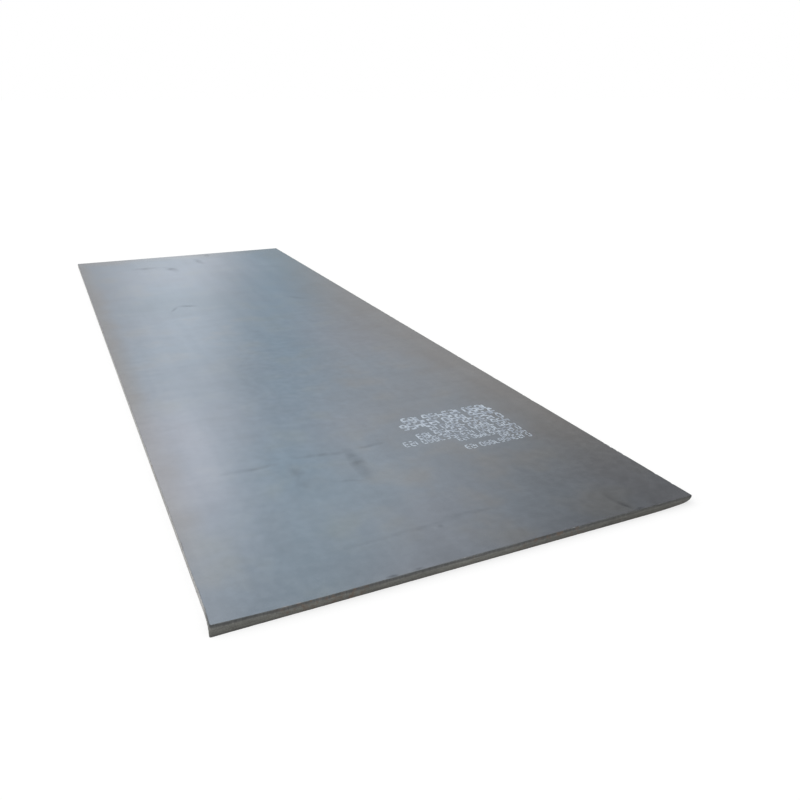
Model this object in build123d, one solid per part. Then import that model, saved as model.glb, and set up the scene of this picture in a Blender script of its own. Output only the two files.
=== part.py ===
from build123d import *
from math import atan, degrees
import os

# Hot-rolled steel plate: one solid, lying flat on its bottom face, in millimetres.
# X runs along the plate's length, Y across its width and Z up from the bottom face.

# Size of the plate
plate_length = 6000.0
plate_width = 2000.0
plate_thickness = 36.0
corner_radius = 8.0  # plan radius of the four corners, blunted by handling

# Sheared edge, from the top face down
rollover_radius = 3.0  # arris that the blade drew down
burnish_height = 10.0  # upright band that the blade rubbed smooth
fracture_setback = 2.0  # how far the torn band leans in by the bottom face
burr_break = 1.0  # chamfer where the burr was knocked off the bottom arris

# The torn band takes up what is left of the thickness
fracture_height = plate_thickness - rollover_radius - burnish_height
fracture_lean = degrees(atan(fracture_setback / fracture_height))


def cut_outline():
    """Plan outline of the cut plate, at the height where the rubbed band meets the torn one."""
    return Plane.XY.offset(fracture_height) * RectangleRounded(plate_length, plate_width, corner_radius)


def rubbed_band():
    """Upper part of the plate, with upright sides and the rolled-over arris round its top."""
    band = extrude(cut_outline(), amount=burnish_height + rollover_radius)
    top_face = band.faces().sort_by(Axis.Z)[-1]
    return fillet(top_face.outer_wire().edges(), rollover_radius)


def torn_band():
    """Lower part of the plate, whose sides lean in and end in the broken bottom arris."""
    band = extrude(cut_outline(), amount=fracture_height, dir=(0, 0, -1), taper=fracture_lean)
    bottom_face = band.faces().sort_by(Axis.Z)[0]
    return chamfer(bottom_face.outer_wire().edges(), burr_break)


steel_plate = rubbed_band() + torn_band()
steel_plate.label = "steel_plate"

os.makedirs("parts", exist_ok=True)
export_step(steel_plate, "parts/steel_plate.step")
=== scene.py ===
import math
import random

import bmesh
import bpy
from mathutils import Matrix, Vector, noise


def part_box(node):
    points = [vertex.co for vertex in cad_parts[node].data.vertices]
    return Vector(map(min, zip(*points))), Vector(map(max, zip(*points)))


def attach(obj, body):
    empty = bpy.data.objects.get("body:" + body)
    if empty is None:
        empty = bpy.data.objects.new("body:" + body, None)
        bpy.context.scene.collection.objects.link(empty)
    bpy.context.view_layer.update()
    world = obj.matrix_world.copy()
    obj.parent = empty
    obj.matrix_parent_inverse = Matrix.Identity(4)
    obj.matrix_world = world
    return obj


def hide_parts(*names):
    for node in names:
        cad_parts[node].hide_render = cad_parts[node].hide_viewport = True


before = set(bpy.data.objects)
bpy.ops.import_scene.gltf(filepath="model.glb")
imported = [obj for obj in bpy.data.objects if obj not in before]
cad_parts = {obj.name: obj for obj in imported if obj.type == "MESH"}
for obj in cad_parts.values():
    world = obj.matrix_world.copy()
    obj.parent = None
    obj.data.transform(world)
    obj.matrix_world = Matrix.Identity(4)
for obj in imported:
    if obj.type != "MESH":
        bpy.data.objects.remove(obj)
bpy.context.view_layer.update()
mm = 0.001
quarterTurn = math.pi / 2
white = (1, 1, 1, 1)
matrixSize = 4
noiseSpan = (0.3, 0.7)  # most of a noise texture's values lie in this range
noiseMiddle = 0.5
noiseDetail = 3.0
mixSockets = {"share": 0, "under": 6, "over": 7, "result": 2}  # colour sockets of a Mix node
plateLow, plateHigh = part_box("steel_plate")
plateSize = plateHigh - plateLow
halfLength = plateSize.x / 2
halfWidth = plateSize.y / 2
thickness = plateSize.z
scene = bpy.context.scene
scene.view_settings.view_transform = "Standard"
print("plate", [round(side, 4) for side in plateSize])


# Small helpers for shader trees
def addNode(tree, kind, inputs=None, **settings):
    made = tree.nodes.new("ShaderNode" + kind)
    for name, value in settings.items():
        setattr(made, name, value)
    for name, value in (inputs or {}).items():
        if isinstance(value, bpy.types.NodeSocket):
            tree.links.new(value, made.inputs[name])
        else:
            made.inputs[name].default_value = value
    return made


def calc(tree, operation, *values):
    return addNode(tree, "Math", dict(enumerate(values)), operation=operation).outputs[0]


def remap(tree, value, span, result=(0.0, 1.0)):
    limits = {"Value": value}
    limits.update({"From Min": span[0], "From Max": span[1]})
    limits.update({"To Min": result[0], "To Max": result[1]})
    return addNode(tree, "MapRange", limits, interpolation_type="SMOOTHSTEP").outputs["Result"]


def noiseAt(tree, place, perMetre):
    inputs = {"Vector": place, "Scale": perMetre, "Detail": noiseDetail}
    return addNode(tree, "TexNoise", inputs).outputs["Fac"]


def drawnOut(tree, place, perMetre):
    stretched = addNode(tree, "Mapping", {"Vector": place, "Scale": perMetre}).outputs["Vector"]
    return noiseAt(tree, stretched, 1.0)


def mixColour(tree, share, under, over, mode="MIX"):
    inputs = {mixSockets["share"]: share, mixSockets["under"]: under, mixSockets["over"]: over}
    mix = addNode(tree, "Mix", inputs, data_type="RGBA", blend_type=mode)
    return mix.outputs[mixSockets["result"]]


def varied(tree, colour, pattern, share):
    shade = remap(tree, pattern, noiseSpan, (1 - share, 1 + share))
    grey = addNode(tree, "CombineColor", dict.fromkeys(("Red", "Green", "Blue"), shade))
    return mixColour(tree, 1.0, colour, grey.outputs["Color"], "MULTIPLY")


def rampColour(tree, value, stops):
    ramp = addNode(tree, "ValToRGB", {"Fac": value})
    band = ramp.color_ramp.elements
    while len(band) < len(stops):
        band.new(1.0)
    for element, (position, colour) in zip(band, stops):
        element.position = position
        element.color = (*colour, 1)
    return ramp.outputs["Color"]


def newMaterial(name):
    material = bpy.data.materials.new(name)
    material.use_nodes = True
    material.node_tree.nodes.clear()
    return material, material.node_tree


def finishSurface(tree, inputs):
    shader = addNode(tree, "BsdfPrincipled", inputs)
    addNode(tree, "OutputMaterial", {"Surface": shader.outputs["BSDF"]})


def seenRays(tree):
    rays = addNode(tree, "LightPath").outputs
    mirrored = calc(tree, "MAXIMUM", rays["Is Glossy Ray"], rays["Is Transmission Ray"])
    return calc(tree, "MAXIMUM", rays["Is Camera Ray"], mirrored)


def keepPiece(name, bm, materials):
    mesh = bpy.data.meshes.new(name)
    bm.to_mesh(mesh)
    bm.free()
    for material in materials:
        mesh.materials.append(material)
    piece = bpy.data.objects.new(name, mesh)
    scene.collection.objects.link(piece)
    return piece


# Camera, measured from the plate's near left corner: the -X end, on the +Y side
photoCamera = {
    "behindEnd": 1.987,
    "outsideSide": 0.290,
    "height": 1.583,
    "headingDegrees": 25.31,  # to the right of the plate's length
    "dipDegrees": 22.015,
    "rollDegrees": 0.17,
    "focalPixels": 756.7,
    "framePixels": 800,
    "sensorWidth": 36.0,
}


def placeCamera(settings):
    data = bpy.data.cameras.new("photo_camera")
    data.sensor_width = settings["sensorWidth"]
    data.lens = settings["focalPixels"] * settings["sensorWidth"] / settings["framePixels"]
    camera = bpy.data.objects.new("photo_camera", data)
    scene.collection.objects.link(camera)
    heading = Matrix.Rotation(-math.radians(settings["headingDegrees"]) - quarterTurn, matrixSize, "Z")
    dip = Matrix.Rotation(quarterTurn - math.radians(settings["dipDegrees"]), matrixSize, "X")
    roll = Matrix.Rotation(math.radians(settings["rollDegrees"]), matrixSize, "Z")
    station = Vector((
        plateLow.x - settings["behindEnd"],
        plateHigh.y + settings["outsideSide"],
        plateLow.z + settings["height"],
    ))
    camera.matrix_world = Matrix.Translation(station) @ heading @ dip @ roll
    scene.camera = camera


placeCamera(photoCamera)
print("camera placed")

# Soft studio: white air and floor, one broad lamp, and grey walls that only reflections see
studio = {
    "ambient": 0.6,  # share of the level that comes from all round
    "lampShare": 0.4,  # the rest comes from the lamp
    "lampSpreadDegrees": 80,
    "lampFrom": (0.35, 0.75, 1.0),
    "floorSize": 400.0,
    "floorDrop": 0.5 * mm,
    "floorColour": (0.8, 0.8, 0.8, 1),
    "floorShadow": 0.35,  # share of the white floor that shadows can darken
    "floorLift": 0.02,  # keeps the open floor at white
    "wallRadius": 60.0,
    "wallHeight": 70.0,
    "wallSegments": 96,
    "wallLevel": 1.25,
    "wallTone": (0.40, 0.43, 0.47, 1),
}
# Panels on the walls: where they are, in degrees to the right of the plate's length, how far from there
# they are full and end, and the slopes up from the plate at which they begin and are full
wallPanels = (
    {  # pale, ahead
        "middle": 8,
        "reach": (0, 8),
        "foot": (-0.1, 0.0),
        "tone": (0.70, 0.78, 0.87, 1),
    },
    {  # blue-grey, beside it
        "middle": 16,
        "reach": (0, 6),
        "foot": (-0.1, 0.0),
        "tone": (0.315, 0.425, 0.52, 1),
    },
    {  # teal, hung high above both
        "middle": 18,
        "reach": (0, 12),
        "foot": (0.45, 0.65),
        "tone": (0.38, 0.515, 0.60, 1),
    },
    {  # dark, hung high to the right
        "middle": 80,
        "reach": (30, 55),
        "foot": (0.34, 0.44),
        "tone": (0.06, 0.065, 0.07, 1),
    },
)
# The walls are brighter about this slope up from the plate
wallBand = {"middle": 0.55, "reach": (0.0, 0.3), "gain": 0.45}


def lightStudio(settings):
    world = bpy.data.worlds.new("studio_air")
    scene.world = world
    world.use_nodes = True
    tree = world.node_tree
    tree.nodes.clear()
    strength = remap(tree, seenRays(tree), (0.0, 1.0), (settings["ambient"], 1.0))
    air = addNode(tree, "Background", {"Color": white, "Strength": strength})
    addNode(tree, "OutputWorld", {"Surface": air.outputs[0]})
    towards = Vector(settings["lampFrom"]).normalized()
    lampData = bpy.data.lights.new("broad_lamp", "SUN")
    lampData.energy = settings["lampShare"] * math.pi / towards.z
    lampData.angle = math.radians(settings["lampSpreadDegrees"])
    lamp = bpy.data.objects.new("broad_lamp", lampData)
    lamp.rotation_euler = towards.to_track_quat("Z", "Y").to_euler()
    lamp.visible_glossy = False
    scene.collection.objects.link(lamp)


def layFloor(settings):
    material, tree = newMaterial("white_floor")
    matt = addNode(tree, "BsdfDiffuse", {"Color": settings["floorColour"]})
    shadow = settings["floorShadow"]
    shaded = addNode(tree, "BsdfDiffuse", {"Color": (shadow, shadow, shadow, 1)})
    level = 1.0 - shadow + settings["floorLift"]
    glow = addNode(tree, "Emission", {"Color": white, "Strength": level})
    paper = addNode(tree, "AddShader", {0: shaded.outputs[0], 1: glow.outputs[0]})
    layers = {0: seenRays(tree), 1: matt.outputs[0], 2: paper.outputs[0]}
    floorMix = addNode(tree, "MixShader", layers)
    addNode(tree, "OutputMaterial", {"Surface": floorMix.outputs[0]})
    bm = bmesh.new()
    bmesh.ops.create_grid(bm, x_segments=1, y_segments=1, size=settings["floorSize"] / 2)
    bmesh.ops.translate(bm, vec=(0, 0, plateLow.z - settings["floorDrop"]), verts=bm.verts)
    keepPiece("studio_floor", bm, [material])


def nearTo(tree, value, middle, reach, result=(1.0, 0.0)):
    away = calc(tree, "ABSOLUTE", calc(tree, "SUBTRACT", value, middle))
    return remap(tree, away, reach, result)


def raiseWalls(settings, panels, band):
    material, tree = newMaterial("studio_walls")
    place = addNode(tree, "TexCoord").outputs["Object"]
    axes = addNode(tree, "SeparateXYZ", {"Vector": place}).outputs
    toLeft = calc(tree, "DEGREES", calc(tree, "ARCTAN2", axes["Y"], axes["X"]))
    slope = calc(tree, "DIVIDE", axes["Z"], settings["wallRadius"])
    tone = settings["wallTone"]
    for panel in panels:
        wide = nearTo(tree, toLeft, -panel["middle"], panel["reach"])
        share = calc(tree, "MULTIPLY", wide, remap(tree, slope, panel["foot"]))
        tone = mixColour(tree, share, tone, panel["tone"])
    levels = (settings["wallLevel"] * (1 + band["gain"]), settings["wallLevel"])
    level = nearTo(tree, slope, band["middle"], band["reach"], levels)
    glow = addNode(tree, "Emission", {"Color": tone, "Strength": level})
    addNode(tree, "OutputMaterial", {"Surface": glow.outputs[0]})
    bm = bmesh.new()
    bmesh.ops.create_cone(bm, segments=settings["wallSegments"], depth=settings["wallHeight"],
                          radius1=settings["wallRadius"], radius2=settings["wallRadius"])
    bmesh.ops.translate(bm, vec=(0, 0, settings["wallHeight"] / 2), verts=bm.verts)
    walls = keepPiece("studio_walls", bm, [material])
    walls.visible_camera = False
    walls.visible_diffuse = False
    walls.visible_shadow = False
    walls.visible_transmission = False
    walls.visible_volume_scatter = False


lightStudio(studio)
layFloor(studio)
raiseWalls(studio, wallPanels, wallBand)
print("studio lit")

# White numbers put on by a paint jet in rows of dots, to be read from the far end
numberBlock = {
    "firstTop": plateLow.x + 780 * mm,  # x of the first row's top
    "rowStart": plateLow.y + 265 * mm,  # y where every row starts
    "rowGap": 1 * mm,
    "rows": (  # digits, their height and how bold they are
        (14, 47 * mm, 0.9),
        (6, 44 * mm, 0.9),
        (14, 46 * mm, 0.9),
        (20, 56 * mm, 0.9),
        (16, 59 * mm, 1.0),
        (13, 59 * mm, 1.0),
        (14, 71 * mm, 1.1),
        (13, 71 * mm, 1.1),
    ),
    "dotsAcross": 5,
    "dotsTall": 7,
    "squeeze": 0.65,  # dot pitch across as a share of the pitch down
    "dotShare": 0.70,  # dot radius as a share of the dots' pitch
    "dotSides": 8,
    "dotTaper": 0.7,
    "paintThick": 0.25 * mm,
    "paintSunk": 0.05 * mm,
    "missedShare": 0.04,
    "jitterShare": 0.12,
    "seed": 5,
}
# Strokes of the digits 0 to 9: a to f clockwise from the top, g in the middle
digitStrokes = (
    "abcdef", "bc", "abged", "abgcd", "fgbc",
    "afgcd", "afgedc", "abc", "abcdefg", "abcdfg",
)
paintTone = {
    "fresh": (0.48, 0.545, 0.62, 1),
    "thin": (0.28, 0.32, 0.38, 1),
    "wearPerMetre": 30.0,
    "wearSpan": (0.35, 0.65),
    "roughness": 0.6,
}


def strokeDots(style):
    across = range(1, style["dotsAcross"] - 1)
    right = style["dotsAcross"] - 1
    bottom = style["dotsTall"] - 1
    middle = bottom // 2
    upper = range(1, middle + 1)
    lower = range(middle, bottom)
    return {
        "a": [(column, 0) for column in across],
        "b": [(right, line) for line in upper],
        "c": [(right, line) for line in lower],
        "d": [(column, bottom) for column in across],
        "e": [(0, line) for line in lower],
        "f": [(0, line) for line in upper],
        "g": [(column, middle) for column in across],
    }


def paintDot(bm, x, y, size, style):
    z = plateHigh.z + outOfFlat(x, y) + style["paintThick"] / 2 - style["paintSunk"]
    bmesh.ops.create_cone(bm, cap_ends=True, segments=style["dotSides"], radius1=size,
                          radius2=size * style["dotTaper"], depth=style["paintThick"],
                          matrix=Matrix.Translation((x, y, z)))


def paintDigit(bm, digit, corner, pitch, bold, draw, style, dotsOf):
    dots = sorted({dot for stroke in digitStrokes[digit] for dot in dotsOf[stroke]})
    for column, line in dots:
        missed = draw.random() < style["missedShare"]
        shift = [draw.uniform(-1, 1) * style["jitterShare"] * pitch for axis in "xy"]
        size = bold * style["dotShare"] * pitch * (1 - style["jitterShare"] * draw.random())
        if not missed:
            x = corner.x + line * pitch + shift[0]
            y = corner.y + column * pitch * style["squeeze"] + shift[1]
            paintDot(bm, x, y, size, style)


def paintNumbers(style, material):
    bm = bmesh.new()
    draw = random.Random(style["seed"])
    dotsOf = strokeDots(style)
    rowTop = style["firstTop"]
    count = 0
    for digits, tall, bold in style["rows"]:
        pitch = tall / style["dotsTall"]
        step = (style["dotsAcross"] + 1) * pitch * style["squeeze"]
        for column in range(digits):
            corner = Vector((rowTop, style["rowStart"] + column * step))
            paintDigit(bm, count % len(digitStrokes), corner, pitch, bold, draw, style, dotsOf)
            count += 1
        rowTop += tall + style["rowGap"]
    return keepPiece("painted_numbers", bm, [material])


def markingPaint():
    material, tree = newMaterial("marking_paint")
    place = addNode(tree, "TexCoord").outputs["Object"]
    worn = remap(tree, noiseAt(tree, place, paintTone["wearPerMetre"]), paintTone["wearSpan"])
    colour = mixColour(tree, worn, paintTone["fresh"], paintTone["thin"])
    finishSurface(tree, {"Base Color": colour, "Roughness": paintTone["roughness"]})
    return material


# Mill scale on the two rolled faces
scaleTone = {
    "blue": (0.288, 0.312, 0.338, 1),
    "violet": (0.305, 0.312, 0.332, 1),
    "warm": (0.303, 0.302, 0.300, 1),
    "rim": (0.335, 0.299, 0.266, 1),  # less blue along the sheared edges
    "rub": (0.045, 0.046, 0.050, 1),  # dark rubbed marks
    "mist": (0.400, 0.450, 0.510, 1),  # paint drifted over the steel round the numbers
    "cloudSpan": (0.4, 0.6),
    "warmSpan": (0.45, 0.75),
    "metallic": 0.75,
}
scaleGrain = {  # patches per metre
    "cloud": 0.7,
    "patch": 4.0,
    "blotch": 24.0,
    "grain": 380.0,
    "along": (0.35, 9.0, 1.0),  # drawn out along the rolling direction
    "across": (14.0, 1.1, 1.0),  # drawn out across it
    "wobble": 8.0,
    "breakUp": 20.0,
}
# How much each pattern lightens and darkens the scale
scaleVary = {"patch": 0.035, "along": 0.03, "across": 0.018, "blotch": 0.035, "grain": 0.05}
scaleRough = {
    "span": (0.185, 0.215),
    "rim": 0.03,
    "rub": 0.15,
    "mist": 0.10,
    "bumpStrength": 0.006,
    "bumpDepth": 0.5 * mm,
}
rimStyle = {
    "far": 320 * mm,  # how far the browner rim reaches in from each side
    "near": 15 * mm,
    "left": 150 * mm,
    "right": 420 * mm,
    "ragged": 1.2,  # as a share of that reach
    "share": 0.85,
    "fadeSpan": (plateLow.x + 100 * mm, plateLow.x + 1000 * mm),
    "least": 0.15,  # share of the rim that is left at the near end
}
markStyle = {
    "wobble": 30 * mm,
    "depth": 10 * mm,  # marks stay this near to the top face
    "breakSpan": (0.35, 0.60),
    "breakShare": (0.45, 1.0),
    "patchSpan": (0.0, 0.6),  # a patch's soft edge, as a share of its reach
}
# Patches of other scale, and patches of painted highlight and shade: middle in x and y, reach in x and
# y, share, tone
scalePatchesAndPaintedLight = (
    (0.50, -1.00, 4.00, 0.65, 0.38, (0.235, 0.212, 0.190, 1)),  # right side darker and browner: partly a tint of the scale, partly painted shade
    (-1.90, -0.55, 1.10, 0.60, 0.25, (0.250, 0.235, 0.215, 1)),  # dirty, round the numbers
    (1.05, 0.33, 0.55, 0.60, 0.50, (0.245, 0.270, 0.285, 1)),  # dull
    (-0.75, 0.52, 0.60, 0.42, 0.50, (0.255, 0.275, 0.295, 1)),  # dull
    (2.68, 0.35, 0.40, 0.45, 0.50, (0.240, 0.255, 0.270, 1)),  # painted shade, far end, where the highlight falls off
    (2.40, -0.45, 0.80, 0.45, 0.50, (0.375, 0.365, 0.375, 1)),  # painted highlight, far end
    (-1.70, 0.92, 0.80, 0.30, 0.50, (0.365, 0.345, 0.355, 1)),  # painted highlight, left side
)
# Mist of paint round the numbers, in the same order
paintMist = (-1.99, -0.46, 0.36, 0.44, 0.10)
# Rubbed marks: middle in x and y, turn in degrees, half length, half width, strength
rubMarks = (
    (0.88, 0.44, -24, 0.11, 0.018, 0.40),
    (0.95, 0.33, 70, 0.09, 0.022, 0.70),
    (2.38, 0.21, 15, 0.16, 0.060, 0.55),
    (2.50, 0.43, 90, 0.13, 0.070, 0.40),
    (2.64, -0.10, 6, 0.18, 0.045, 0.48),
    (2.91, -0.24, 0, 0.07, 0.045, 0.55),
    (0.87, -0.52, 40, 0.14, 0.026, 0.34),
    (-1.99, 0.60, 90, 0.155, 0.024, 0.36),
    (-1.99, 0.28, 80, 0.15, 0.022, 0.34),
    (-1.99, 0.02, 90, 0.085, 0.020, 0.32),
    (-2.14, 0.44, -2, 0.19, 0.045, 0.28),
    (-2.13, 0.15, -4, 0.19, 0.042, 0.42),
    (-2.27, 0.26, 70, 0.09, 0.014, 0.22),
    (-2.75, 0.20, 92, 0.45, 0.018, 0.14),
    (-2.73, -0.07, 85, 0.16, 0.016, 0.15),
    (-2.95, -0.69, 17, 0.045, 0.014, 0.60),
    (-2.88, -0.68, 3, 0.07, 0.022, 0.32),
    (-2.77, 0.07, 0, 0.02, 0.020, 0.40),
    (-2.99, 0.37, 90, 0.030, 0.010, 0.60),
    (-2.99, 0.27, 90, 0.030, 0.008, 0.50),
    (-2.99, -0.72, 90, 0.035, 0.010, 0.60),
)


def ovalAt(tree, place, x, y, turnDegrees, halfLong, halfWide):
    inputs = {
        "Vector": place,
        "Location": (x, y, plateHigh.z),
        "Rotation": (0.0, 0.0, math.radians(turnDegrees)),
        "Scale": (halfLong, halfWide, markStyle["depth"]),
    }
    local = addNode(tree, "Mapping", inputs, vector_type="TEXTURE").outputs["Vector"]
    return addNode(tree, "TexGradient", {"Vector": local}, gradient_type="SPHERICAL").outputs["Fac"]


def rubbedOver(tree, place):
    drift = addNode(tree, "TexNoise", {"Vector": place, "Scale": scaleGrain["wobble"]}).outputs["Color"]
    middle = (noiseMiddle, noiseMiddle, noiseMiddle)
    centred = addNode(tree, "VectorMath", {0: drift, 1: middle}, operation="SUBTRACT").outputs[0]
    sideways = (markStyle["wobble"], markStyle["wobble"], 0.0)
    shift = addNode(tree, "VectorMath", {0: centred, 1: sideways}, operation="MULTIPLY").outputs[0]
    wobbled = addNode(tree, "VectorMath", {0: place, 1: shift}, operation="ADD").outputs[0]
    total = 0.0
    for *where, strength in rubMarks:
        total = calc(tree, "MULTIPLY_ADD", ovalAt(tree, wobbled, *where), strength, total)
    gaps = noiseAt(tree, place, scaleGrain["breakUp"])
    broken = remap(tree, gaps, markStyle["breakSpan"], markStyle["breakShare"])
    return calc(tree, "MINIMUM", calc(tree, "MULTIPLY", total, broken), 1.0)


def rimOver(tree, axes, patch):
    nearest = 1.0
    for side, axis, reach in (("far", "X", halfLength), ("near", "X", halfLength),
                              ("left", "Y", halfWidth), ("right", "Y", halfWidth)):
        away = calc(tree, "SUBTRACT" if side in ("far", "left") else "ADD", reach, axes[axis])
        nearest = calc(tree, "MINIMUM", nearest, calc(tree, "DIVIDE", away, rimStyle[side]))
    centred = calc(tree, "SUBTRACT", patch, noiseMiddle)
    inwards = calc(tree, "MULTIPLY_ADD", centred, rimStyle["ragged"], nearest)
    rim = remap(tree, inwards, (0.0, 1.0), (rimStyle["share"], 0.0))
    fade = remap(tree, axes["X"], rimStyle["fadeSpan"], (rimStyle["least"], 1.0))
    return calc(tree, "MULTIPLY", rim, fade)


def patchOver(tree, place, x, y, reachX, reachY, share):
    oval = ovalAt(tree, place, x, y, 0.0, reachX, reachY)
    return remap(tree, oval, markStyle["patchSpan"], (0.0, share))


def millScale():
    material, tree = newMaterial("mill_scale")
    place = addNode(tree, "TexCoord").outputs["Object"]
    axes = addNode(tree, "SeparateXYZ", {"Vector": place}).outputs
    even = ("cloud", "patch", "blotch", "grain")
    patterns = {name: noiseAt(tree, place, scaleGrain[name]) for name in even}
    patterns.update({name: drawnOut(tree, place, scaleGrain[name]) for name in ("along", "across")})
    clouded = remap(tree, patterns["cloud"], scaleTone["cloudSpan"])
    colour = mixColour(tree, clouded, scaleTone["blue"], scaleTone["violet"])
    warmed = remap(tree, patterns["patch"], scaleTone["warmSpan"])
    colour = mixColour(tree, warmed, colour, scaleTone["warm"])
    rim = rimOver(tree, axes, patterns["patch"])
    colour = mixColour(tree, rim, colour, scaleTone["rim"])
    # Patches of other scale, some of them painted highlight and painted shade
    for *where, tone in scalePatchesAndPaintedLight:
        colour = mixColour(tree, patchOver(tree, place, *where), colour, tone)
    for name, share in scaleVary.items():
        colour = varied(tree, colour, patterns[name], share)
    mist = patchOver(tree, place, *paintMist)
    colour = mixColour(tree, mist, colour, scaleTone["mist"])
    rubbed = rubbedOver(tree, place)
    colour = mixColour(tree, rubbed, colour, scaleTone["rub"])
    rough = remap(tree, patterns["blotch"], noiseSpan, scaleRough["span"])
    for cover, name in ((rim, "rim"), (mist, "mist"), (rubbed, "rub")):
        rough = calc(tree, "MULTIPLY_ADD", cover, scaleRough[name], rough)
    relief = {
        "Height": calc(tree, "ADD", patterns["grain"], patterns["blotch"]),
        "Strength": scaleRough["bumpStrength"],
        "Distance": scaleRough["bumpDepth"],
    }
    finishSurface(tree, {
        "Base Color": colour,
        "Metallic": scaleTone["metallic"],
        "Roughness": rough,
        "Normal": addNode(tree, "Bump", relief).outputs["Normal"],
    })
    return material


# Sheared edge: dark rolled-over arris with a painted highlight at its top, rubbed band, paler torn
# band, and a dark foot that is painted contact shadow
edgeTonesAndPaintedLight = (  # by share of the thickness, from the floor up
    # The lowest stops, darkest at the floor, are painted contact shadow
    (0.00, (0.060, 0.059, 0.054)),
    (0.08, (0.110, 0.108, 0.098)),
    (0.22, (0.145, 0.143, 0.128)),
    (0.55, (0.170, 0.169, 0.153)),
    (0.68, (0.150, 0.150, 0.138)),
    (0.76, (0.100, 0.101, 0.096)),
    (0.86, (0.078, 0.080, 0.078)),
    (0.94, (0.088, 0.091, 0.090)),
    # The top stop is lighter: partly worn steel, partly a painted highlight along the arris
    (1.00, (0.115, 0.120, 0.122)),
)
edgeGrain = {  # patches per metre
    "wander": 16.0,
    "grit": 420.0,
    "upright": (330.0, 330.0, 12.0),  # strokes down the rubbed band
    "level": (18.0, 18.0, 150.0),
    "stretch": (2.5, 2.5, 1.0),
    "rustArea": 2.3,
    "rustSpot": 45.0,
}
# How much each pattern lightens and darkens the edge
edgeVary = {"level": 0.14, "stretch": 0.15, "texture": 0.24}
edgeTone = {
    "rust": (0.140, 0.092, 0.062, 1),
    "rustArea": (0.48, 0.66),
    "rustSpot": (0.45, 0.70),
    "rustShare": 0.7,
    "metallic": 0.35,
    "wander": 6 * mm,
    # The left side is painted paler from near the corner on: painted light where light falls on that
    # side
    "paintedLightSide": (halfWidth - 14 * mm, halfWidth - 8 * mm),
    "paintedLightFrom": (plateLow.x + 40 * mm, plateLow.x + 140 * mm),
    "paintedLightShare": 0.85,
    "paintedLight": (0.400, 0.395, 0.385, 1),
    # The near end is darker towards the right corner
    "dullSide": (-halfWidth + 300 * mm, -halfWidth + 650 * mm),
    "dullEnd": (plateLow.x + 50 * mm, plateLow.x + 400 * mm),
    "dullShare": 0.5,
    "dull": (0.060, 0.058, 0.050, 1),
    # Share of the thickness where the torn band gives way to the rubbed one
    "rubbedFrom": (0.57, 0.67),
    "roughness": (0.75, 0.50),  # of the torn band and of the rubbed one
    "bumpStrength": 0.7,
    "bumpDepth": 1.0 * mm,
}


def shearedEdge():
    material, tree = newMaterial("sheared_edge")
    place = addNode(tree, "TexCoord").outputs["Object"]
    axes = addNode(tree, "SeparateXYZ", {"Vector": place}).outputs
    wander = calc(tree, "SUBTRACT", noiseAt(tree, place, edgeGrain["wander"]), noiseMiddle)
    level = calc(tree, "MULTIPLY_ADD", wander, edgeTone["wander"], axes["Z"])
    heightShare = calc(tree, "DIVIDE", level, thickness)
    # Tones by height, with painted contact shadow at the foot and a painted highlight at the top
    colour = rampColour(tree, heightShare, edgeTonesAndPaintedLight)
    # Painted light: the left side of the edge is painted paler
    paintedLight = remap(tree, axes["Y"], edgeTone["paintedLightSide"], (0.0, edgeTone["paintedLightShare"]))
    paintedLight = calc(tree, "MULTIPLY", paintedLight, remap(tree, axes["X"], edgeTone["paintedLightFrom"]))
    colour = mixColour(tree, paintedLight, colour, edgeTone["paintedLight"])
    dull = remap(tree, axes["Y"], edgeTone["dullSide"], (edgeTone["dullShare"], 0.0))
    dull = calc(tree, "MULTIPLY", dull, remap(tree, axes["X"], edgeTone["dullEnd"], (1.0, 0.0)))
    colour = mixColour(tree, dull, colour, edgeTone["dull"])
    drawn = ("upright", "level", "stretch")
    patterns = {name: drawnOut(tree, place, edgeGrain[name]) for name in drawn}
    grit = noiseAt(tree, place, edgeGrain["grit"])
    rubbed = remap(tree, heightShare, edgeTone["rubbedFrom"])
    strokes = calc(tree, "SUBTRACT", patterns["upright"], grit)
    patterns["texture"] = calc(tree, "MULTIPLY_ADD", strokes, rubbed, grit)
    for name, share in edgeVary.items():
        colour = varied(tree, colour, patterns[name], share)
    area = remap(tree, noiseAt(tree, place, edgeGrain["rustArea"]), edgeTone["rustArea"])
    spot = remap(tree, noiseAt(tree, place, edgeGrain["rustSpot"]), edgeTone["rustSpot"])
    rusted = calc(tree, "MULTIPLY", calc(tree, "MULTIPLY", area, spot), edgeTone["rustShare"])
    colour = mixColour(tree, rusted, colour, edgeTone["rust"])
    relief = {
        "Height": patterns["texture"],
        "Strength": edgeTone["bumpStrength"],
        "Distance": edgeTone["bumpDepth"],
    }
    finishSurface(tree, {
        "Base Color": colour,
        "Metallic": edgeTone["metallic"],
        "Roughness": remap(tree, rubbed, (0.0, 1.0), edgeTone["roughness"]),
        "Normal": addNode(tree, "Bump", relief).outputs["Normal"],
    })
    return material


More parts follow.
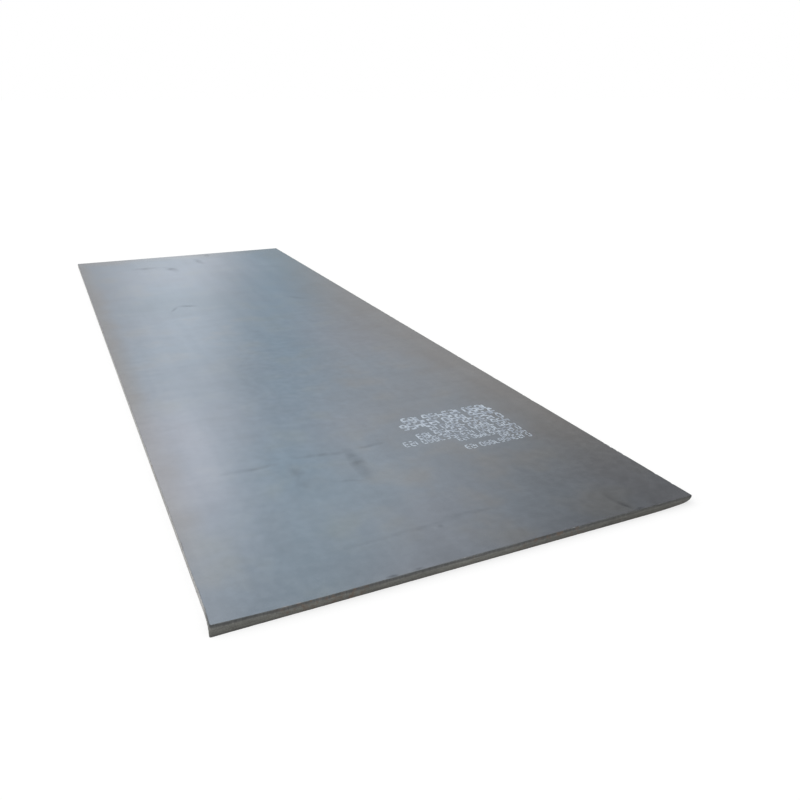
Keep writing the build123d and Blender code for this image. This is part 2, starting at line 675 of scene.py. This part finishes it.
# The plate itself: rolled faces a little out of flat, and a sheared edge all round
edgeShape = {
    "cornerRadius": 8 * mm,
    "rolloverRadius": 3 * mm,
    "rolloverSteps": 5,
    "rubbedHeight": 10 * mm,
    "rubbedSteps": 3,
    "tornSetback": 2 * mm,
    "tornSteps": 6,
    "burrBreak": 1 * mm,
    "shoulder": 4 * mm,  # flat strip between the top's grid and the rollover, in two rows
    "flatRows": 2,
    "cornerSegments": 5,
    "cellSize": 50 * mm,
    "cutsPerCell": 7,
    "sharpDegrees": 40,
}
edgeWear = {  # band of the edge: sideways and upright wander, waves per metre along and down it
    "flat": (0.00 * mm, 0.00 * mm, 1.0, 1.0),
    "arris": (0.25 * mm, 0.10 * mm, 25.0, 25.0),
    "rubbed": (0.20 * mm, 1.60 * mm, 14.0, 40.0),
    "torn": (0.60 * mm, 0.80 * mm, 60.0, 260.0),
    "burr": (0.60 * mm, 0.00 * mm, 40.0, 40.0),
}
rollWaves = (  # height and waves per metre along and across the plate
    (1.3 * mm, 0.50, 0.80),
    (0.3 * mm, 2.00, 2.40),
)
waveOffset = 0.5  # this noise is zero at whole numbers
nickStyle = {
    "count": 90,
    "reach": (6 * mm, 15 * mm),
    "depth": (0.5 * mm, 1.8 * mm),
    "seed": 11,
}
# Knocks at the near corners: corner, reach, and the shift in x and y of the top and of the foot
cornerKnocks = (
    (Vector((-halfLength, -halfWidth)), 60 * mm, Vector((0, 0)), Vector((3 * mm, 9 * mm))),
    (Vector((-halfLength, -halfWidth)), 250 * mm, Vector((0, 0)), Vector((12 * mm, 0))),
    (Vector((-halfLength, halfWidth)), 450 * mm, Vector((15 * mm, 0)), Vector((0, 0))),
    (Vector((-halfLength, halfWidth)), 130 * mm, Vector((0, 3 * mm)), Vector((0, 11 * mm))),
)
knockFade = 2  # power by which a knock dies out along the edge and up it
# Place of each side on the baking map: left, foot, width and height
bakeLayout = {
    "top": (0.004, 0.384, 0.992, 0.612),
    "bottom": (0.004, 0.172, 0.992, 0.204),
    "leftEdge": (0.004, 0.116, 0.992, 0.048),
    "rightEdge": (0.004, 0.060, 0.992, 0.048),
    "nearEnd": (0.004, 0.004, 0.492, 0.048),
    "farEnd": (0.504, 0.004, 0.492, 0.048),
}


def outOfFlat(x, y):
    rise = 0.0
    for layer, (tall, along, across) in enumerate(rollWaves):
        rise += tall * noise.noise(Vector((x * along, y * across, layer + waveOffset)))
    return rise


def edgeRows(shape):
    radius = shape["rolloverRadius"]
    rows = [(radius + shape["shoulder"] / shape["flatRows"], 0.0, "flat")]
    for step in range(shape["rolloverSteps"] + 1):
        turn = quarterTurn * step / shape["rolloverSteps"]
        rows.append((radius * (1 - math.sin(turn)), radius * (1 - math.cos(turn)), "arris"))
    for step in range(1, shape["rubbedSteps"] + 1):
        rows.append((0.0, radius + shape["rubbedHeight"] * step / shape["rubbedSteps"], "rubbed"))
    tornTop = radius + shape["rubbedHeight"]
    tornHeight = thickness - tornTop - shape["burrBreak"]
    for step in range(1, shape["tornSteps"] + 1):
        share = step / shape["tornSteps"]
        rows.append((shape["tornSetback"] * share, tornTop + tornHeight * share, "torn"))
    rows.append((shape["tornSetback"] + shape["burrBreak"], thickness, "burr"))
    return rows


def scatterNicks(style):
    draw = random.Random(style["seed"])
    nicks = []
    for number in range(style["count"]):
        along = draw.uniform(-1, 1)
        side = draw.choice((-1, 1))
        if draw.random() < plateSize.x / (plateSize.x + plateSize.y):
            spot = Vector((along * halfLength, side * halfWidth))
        else:
            spot = Vector((side * halfLength, along * halfWidth))
        nicks.append((spot, draw.uniform(*style["reach"]), draw.uniform(*style["depth"])))
    return nicks


def nickedBy(spot, nicks):
    deepest = 0.0
    for middle, reach, depth in nicks:
        away = (spot - middle).length
        if away < reach:
            deepest = max(deepest, depth * (1 - away / reach))
    return deepest


def knockCorners(bm):
    for vert in bm.verts:
        spot = vert.co.xy
        down = min(max((plateHigh.z - vert.co.z) / thickness, 0.0), 1.0)
        for corner, reach, topShift, footShift in cornerKnocks:
            near = max(0.0, 1 - (spot - corner).length / reach)
            vert.co.xy += topShift.lerp(footShift, down ** knockFade) * near ** knockFade


def outlineAt(place, radius):
    core = Vector((
        min(max(place.x, radius - halfLength), halfLength - radius),
        min(max(place.y, radius - halfWidth), halfWidth - radius),
    ))
    return core, (Vector((place.x, place.y)) - core).normalized()


def growRow(bm, ring, row, nicks, shape):
    inset, depth, band = row
    sideways, upright, alongPerMetre, downPerMetre = edgeWear[band]
    grown = bmesh.ops.extrude_edge_only(bm, edges=ring)["geom"]
    verts = [item for item in grown if isinstance(item, bmesh.types.BMVert)]
    for vert in verts:
        core, outward = outlineAt(vert.co, shape["cornerRadius"])
        rim = core + outward * shape["cornerRadius"]
        sample = Vector((rim.x * alongPerMetre, rim.y * alongPerMetre, depth * downPerMetre))
        reach = shape["cornerRadius"] - inset + sideways * noise.noise(sample)
        drop = depth + upright * noise.noise(sample + Vector((0, 0, alongPerMetre)))
        if band == "arris":
            nick = nickedBy(rim, nicks)
            reach -= nick
            drop += nick
        spot = core + outward * reach
        wave = outOfFlat(spot.x, spot.y) * (1 - depth / thickness)
        vert.co = (spot.x, spot.y, plateHigh.z - drop + wave)
    edges = [item for item in grown if isinstance(item, bmesh.types.BMEdge)]
    faces = [item for item in grown if isinstance(item, bmesh.types.BMFace)]
    return [edge for edge in edges if edge.is_boundary], faces, verts


def sideOf(face, rowLayer, lastRow):
    rows = {vert[rowLayer] for vert in face.verts}
    if rows == {0}:
        return "top", "along", "across"
    if rows == {lastRow}:
        return "bottom", "along", "across"
    middle = face.calc_center_median()
    if halfWidth - abs(middle.y) < halfLength - abs(middle.x):
        return "leftEdge" if middle.y > 0 else "rightEdge", "along", "up"
    return "nearEnd" if middle.x < 0 else "farEnd", "across", "up"


def layOutBake(bm, rowLayer, lastRow):
    mapLayer = bm.loops.layers.uv.new("OFBake")
    for face in bm.faces:
        side, wideBy, tallBy = sideOf(face, rowLayer, lastRow)
        left, foot, width, height = bakeLayout[side]
        for loop in face.loops:
            share = {
                "along": (loop.vert.co.x - plateLow.x) / plateSize.x,
                "across": (loop.vert.co.y - plateLow.y) / plateSize.y,
                "up": 1 - loop.vert[rowLayer] / lastRow,
            }
            loop[mapLayer].uv = (left + share[wideBy] * width, foot + share[tallBy] * height)


def rollPlate(shape):
    bm = bmesh.new()
    rowLayer = bm.verts.layers.int.new("row")
    inner = shape["rolloverRadius"] + shape["shoulder"]
    cells = [round(side / shape["cellSize"]) for side in plateSize.xy]
    bmesh.ops.create_grid(bm, x_segments=cells[0], y_segments=cells[1], size=1)
    bmesh.ops.scale(bm, vec=(halfLength - inner, halfWidth - inner, 1), verts=bm.verts)
    cornerEdges = 2
    corners = [vert for vert in bm.verts if len(vert.link_edges) == cornerEdges]
    bmesh.ops.bevel(bm, geom=corners, offset=shape["cornerRadius"] - inner, affect="VERTICES",
                    segments=shape["cornerSegments"], profile=0.5, material=-1)
    sides = [edge for edge in bm.edges if edge.is_boundary and edge.calc_length() > inner]
    bmesh.ops.bisect_edges(bm, edges=sides, cuts=shape["cutsPerCell"])
    for vert in bm.verts:
        vert.co.z = plateHigh.z + outOfFlat(vert.co.x, vert.co.y)
    ring = [edge for edge in bm.edges if edge.is_boundary]
    nicks = scatterNicks(nickStyle)
    rows = edgeRows(shape)
    for number, row in enumerate(rows):
        ring, faces, verts = growRow(bm, ring, row, nicks, shape)
        for vert in verts:
            vert[rowLayer] = max(number - shape["flatRows"] + 1, 0)
        for face in faces:
            face.material_index = int(number >= shape["flatRows"])
    bmesh.ops.contextual_create(bm, geom=ring)
    knockCorners(bm)
    bmesh.ops.recalc_face_normals(bm, faces=bm.faces)
    bm.normal_update()
    layOutBake(bm, rowLayer, len(rows) - shape["flatRows"])
    bm.verts.layers.int.remove(rowLayer)
    for face in bm.faces:
        face.smooth = True
    plate = keepPiece("rolled_plate", bm, [millScale(), shearedEdge()])
    plate.data.set_sharp_from_angle(angle=math.radians(shape["sharpDegrees"]))
    return plate


plate = rollPlate(edgeShape)
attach(plate, "root")
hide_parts("steel_plate")
print("plate rolled,", len(plate.data.polygons), "faces")

numbers = paintNumbers(numberBlock, markingPaint())
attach(numbers, "root")
print("numbers painted,", len(numbers.data.polygons), "faces")
